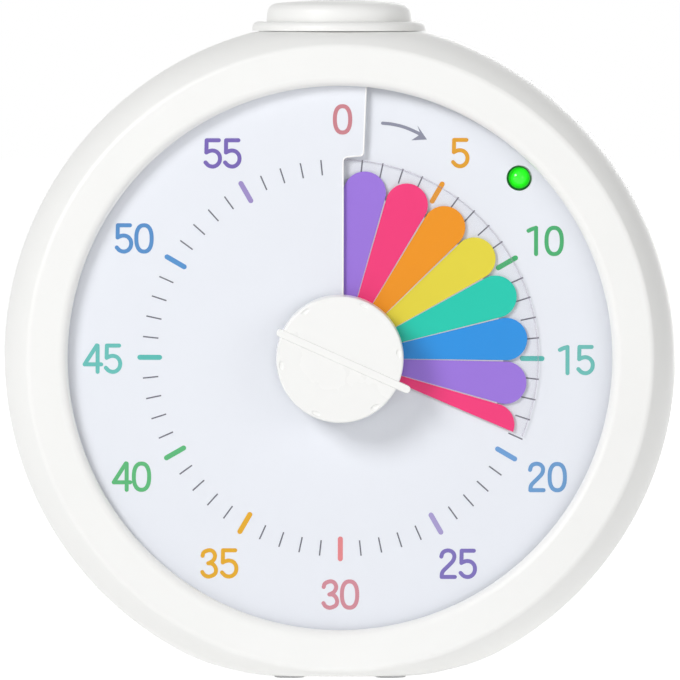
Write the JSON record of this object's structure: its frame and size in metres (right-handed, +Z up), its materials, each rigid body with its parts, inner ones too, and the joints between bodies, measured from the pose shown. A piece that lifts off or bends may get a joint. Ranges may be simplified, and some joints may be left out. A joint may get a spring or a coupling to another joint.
{
  "type": "visual countdown timer",
  "caption": "Round white free-standing countdown timer: numbered dial, centre knob that draws a clear coloured time disc out of a slit, top push button, lamp and battery door.",
  "frame": {"origin": "middle of the bounding box's bottom face, on the surface that the base pads stand on", "axes": "+Z up; -Y is the way the dial faces; +X to the right seen from the front"},
  "size_m": [0.14, 0.0512, 0.141],
  "materials": {
    "case_white": "satin white ABS",
    "knob_white": "satin white, slightly glossier than the case",
    "pointer_white": "glossy white",
    "dial_lavender": "matt printed sheet",
    "clear_film": "clear polyester film",
    "green_lens": "clear green lens, lit",
    "inner_plastic": "matt moulded",
    "brass": "turned",
    "steel": "plain steel",
    "zinc_plate": "nickel plated",
    "gear_nylon": "natural nylon",
    "board_green": "solder mask",
    "black_plastic": "matt black",
    "cell_jacket": "shrink sleeve, plain dark blue",
    "pad_silicone": "soft silicone"
  },
  "bodies": {
    "housing": {"front_housing": "case_white", "rear_cover": "case_white", "battery_bay": "inner_plastic", "battery_cell_1": "cell_jacket", "battery_cell_2": "cell_jacket", "contact_plate_1": "zinc_plate", "contact_plate_2": "zinc_plate", "contact_spring_1": "zinc_plate", "contact_spring_2": "zinc_plate", "dial_sheet": "dial_lavender", "dial_tray": "inner_plastic", "bearing_bush": "brass", "zero_sensor": "board_green", "idler_axle": "steel", "gear_motor": "steel", "movement_plate": "inner_plastic", "main_board": "board_green", "led": "green_lens", "led_board": "board_green", "button_flange": "case_white", "button_spring": "steel", "tact_switch": "black_plastic", "switch_board": "board_green", "sounder": "black_plastic", "volume_switch": "black_plastic", "rear_screw_1": "steel", "rear_screw_2": "steel", "rear_screw_3": "steel", "rear_screw_4": "steel", "base_pad_1": "pad_silicone", "base_pad_2": "pad_silicone", "base_pad_3": "pad_silicone", "base_pad_4": "pad_silicone"},
    "knob": {"knob": "knob_white", "knob_pointer": "pointer_white", "spindle": "steel", "film_collar": "gear_nylon", "retaining_clip": "steel", "main_wheel": "gear_nylon", "zero_magnet": "steel", "clutch_spring": "steel", "clutch_hub": "brass"},
    "time_disc": {"time_film": "clear_film"},
    "idler": {"idler_gear": "gear_nylon"},
    "motor": {"motor_pinion": "brass"},
    "button": {"button_cap": "case_white", "switch_plunger": "black_plastic"},
    "volume": {"volume_slider": "black_plastic"},
    "battery_door": {"battery_door": "case_white"}
  },
  "joints": [
    {"name": "knob_turn", "type": "hinge", "parent": "housing", "child": "knob", "pos_m": [0, -0.01937, 0.0667], "axis": [0, 1, 0], "range_deg": [-113.3, 246.7]},
    {"name": "time_disc_climb", "type": "slide", "parent": "knob", "child": "time_disc", "axis": [0, -1, 0], "range_m": [-0.00052, 0.00111]},
    {"name": "idler_turn", "type": "hinge", "parent": "housing", "child": "idler", "pos_m": [-0.01299, -0.01937, 0.0742], "axis": [0, 1, 0], "range_deg": [-1253.5, 586.5]},
    {"name": "motor_turn", "type": "hinge", "parent": "housing", "child": "motor", "pos_m": [-0.01299, -0.01937, 0.0867], "axis": [0, 1, 0], "range_deg": [-2346, 5014]},
    {"name": "button_press", "type": "slide", "parent": "housing", "child": "button", "axis": [0, 0, -1], "range_m": [0, 0.001], "stiffness_N_per_m": 1500, "springref_m": -0.0002, "deforming": ["button_spring"]},
    {"name": "volume_slide", "type": "slide", "parent": "housing", "child": "volume", "axis": [-1, 0, 0], "range_m": [-0.0025, 0.0025]},
    {"name": "battery_door_swing", "type": "hinge", "parent": "housing", "child": "battery_door", "pos_m": [0, 0.02403, 0.0156], "axis": [-1, 0, 0], "range_deg": [0, 90]}
  ],
  "couplings": [
    {"joint": "time_disc_climb", "follows": "knob_turn", "m_per_rad": 0.00025465},
    {"joint": "idler_turn", "follows": "knob_turn", "ratio": -5},
    {"joint": "motor_turn", "follows": "knob_turn", "ratio": 20}
  ]
}
